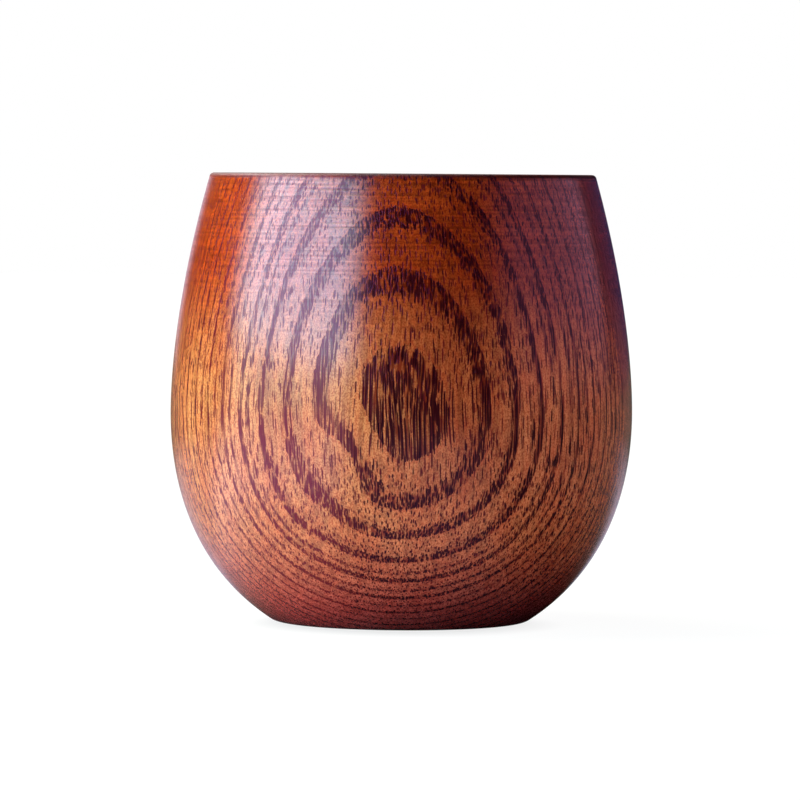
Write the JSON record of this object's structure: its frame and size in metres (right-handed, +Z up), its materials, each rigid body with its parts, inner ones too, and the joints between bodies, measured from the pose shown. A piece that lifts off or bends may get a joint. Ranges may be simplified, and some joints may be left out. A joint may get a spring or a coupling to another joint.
{
  "type": "cup",
  "caption": "Turned wooden cup in one piece: barrel-shaped wall, open rounded hollow, thin flat lip, and a small foot with a shallow recess under it.",
  "frame": {"origin": "centre of the plane that the foot stands on", "axes": "+Z up, along the turning axis, out of the mouth; -Y is the side that the picture shows"},
  "size_m": [0.08, 0.08, 0.0775],
  "materials": {
    "lacquered_wood": "clear semi-gloss lacquer over red-brown ring-porous wood with dark pores"
  },
  "bodies": {
    "root": {"cup_body": "lacquered_wood"}
  },
  "joints": []
}
